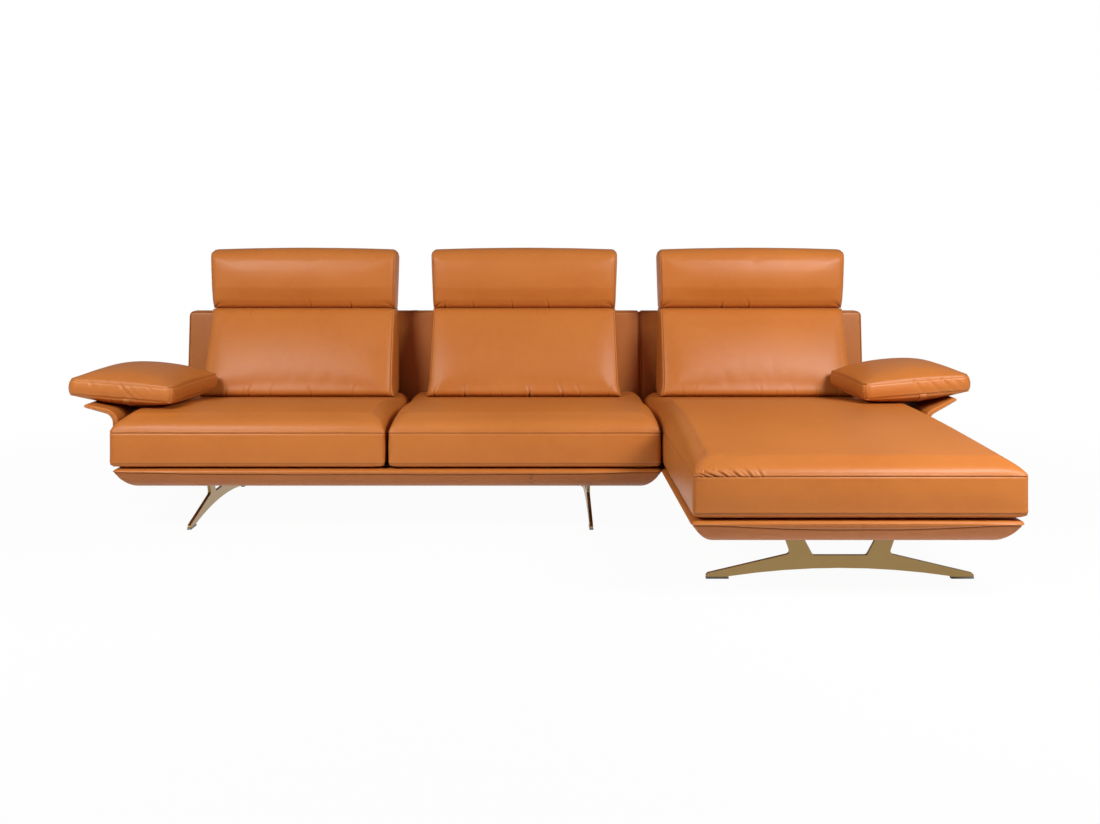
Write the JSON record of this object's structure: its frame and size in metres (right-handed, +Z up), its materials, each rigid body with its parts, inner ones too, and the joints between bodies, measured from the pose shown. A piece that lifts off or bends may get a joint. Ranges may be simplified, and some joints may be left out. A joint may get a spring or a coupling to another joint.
{
  "type": "chaise sofa",
  "caption": "Low corner sofa with a chaise longue: crowned boxed seats, wedge backrests with folding headrests, flared arm wings with loose pillows, flat antler-shaped metal legs.",
  "frame": {"origin": "on the floor under the middle of the overall box", "axes": "+X towards the chaise longue (right as seen from the front), +Y to the rear, +Z up; the seats face -Y"},
  "size_m": [3.2354, 1.7085, 1.0101],
  "materials": {
    "cognac_leather": "semi-aniline cognac leather with a soft sheen",
    "champagne_bronze": "satin champagne bronze",
    "black_steel": "black powder coat",
    "zinc_plate": "zinc plate",
    "beech": "planed beech",
    "black_webbing": "black elastic webbing",
    "grey_felt": "grey felt"
  },
  "bodies": {
    "sofa_frame": {"sofa_base_shell": "cognac_leather", "sofa_underframe": "beech", "sofa_webbing": "black_webbing", "sofa_back_shell": "cognac_leather", "chaise_base_shell": "cognac_leather", "chaise_underframe": "beech", "chaise_webbing": "black_webbing", "chaise_back_shell": "cognac_leather", "sofa_seat_cushion_left": "cognac_leather", "sofa_seat_cushion_right": "cognac_leather", "chaise_seat_cushion": "cognac_leather", "back_cushion_left": "cognac_leather", "back_frame_left": "black_steel", "pivot_rod_left": "zinc_plate", "back_cushion_middle": "cognac_leather", "back_frame_middle": "black_steel", "pivot_rod_middle": "zinc_plate", "back_cushion_chaise": "cognac_leather", "back_frame_chaise": "black_steel", "pivot_rod_chaise": "zinc_plate", "arm_wing_left": "cognac_leather", "arm_bracket_left": "black_steel", "arm_wing_right": "cognac_leather", "arm_bracket_right": "black_steel", "leg_sofa_left": "champagne_bronze", "glide_sofa_left_a": "grey_felt", "leg_bolt_sofa_left_a": "zinc_plate", "glide_sofa_left_b": "grey_felt", "leg_bolt_sofa_left_b": "zinc_plate", "leg_sofa_right": "champagne_bronze", "glide_sofa_right_a": "grey_felt", "leg_bolt_sofa_right_a": "zinc_plate", "glide_sofa_right_b": "grey_felt", "leg_bolt_sofa_right_b": "zinc_plate", "leg_chaise_front": "champagne_bronze", "glide_chaise_front_a": "grey_felt", "leg_bolt_chaise_front_a": "zinc_plate", "glide_chaise_front_b": "grey_felt", "leg_bolt_chaise_front_b": "zinc_plate", "leg_chaise_rear": "champagne_bronze", "glide_chaise_rear_a": "grey_felt", "leg_bolt_chaise_rear_a": "zinc_plate", "glide_chaise_rear_b": "grey_felt", "leg_bolt_chaise_rear_b": "zinc_plate", "joining_plate_front": "black_steel", "joining_bolt_front_sofa": "zinc_plate", "joining_bolt_front_chaise": "zinc_plate", "joining_plate_rear": "black_steel", "joining_bolt_rear_sofa": "zinc_plate", "joining_bolt_rear_chaise": "zinc_plate"},
    "left_headrest": {"headrest_left": "cognac_leather", "headrest_frame_left": "black_steel"},
    "middle_headrest": {"headrest_middle": "cognac_leather", "headrest_frame_middle": "black_steel"},
    "chaise_headrest": {"headrest_chaise": "cognac_leather", "headrest_frame_chaise": "black_steel"},
    "left_arm_pillow": {"arm_cushion_left": "cognac_leather"},
    "right_arm_pillow": {"arm_cushion_right": "cognac_leather"}
  },
  "joints": [
    {"name": "left_headrest_tilt", "type": "hinge", "parent": "sofa_frame", "child": "left_headrest", "pos_m": [-0.9105, 0.7466, 0.7601], "axis": [1, 0, 0], "range_deg": [-90, 0]},
    {"name": "middle_headrest_tilt", "type": "hinge", "parent": "sofa_frame", "child": "middle_headrest", "pos_m": [-0.0025, 0.7466, 0.7601], "axis": [1, 0, 0], "range_deg": [-90, 0]},
    {"name": "chaise_headrest_tilt", "type": "hinge", "parent": "sofa_frame", "child": "chaise_headrest", "pos_m": [0.9325, 0.7466, 0.7601], "axis": [1, 0, 0], "range_deg": [-90, 0]},
    {"name": "left_arm_pillow_lift", "type": "slide", "parent": "sofa_frame", "child": "left_arm_pillow", "axis": [0, 0, 1], "range_m": [0, 0.25]},
    {"name": "right_arm_pillow_lift", "type": "slide", "parent": "sofa_frame", "child": "right_arm_pillow", "axis": [0, 0, 1], "range_m": [0, 0.25]}
  ]
}
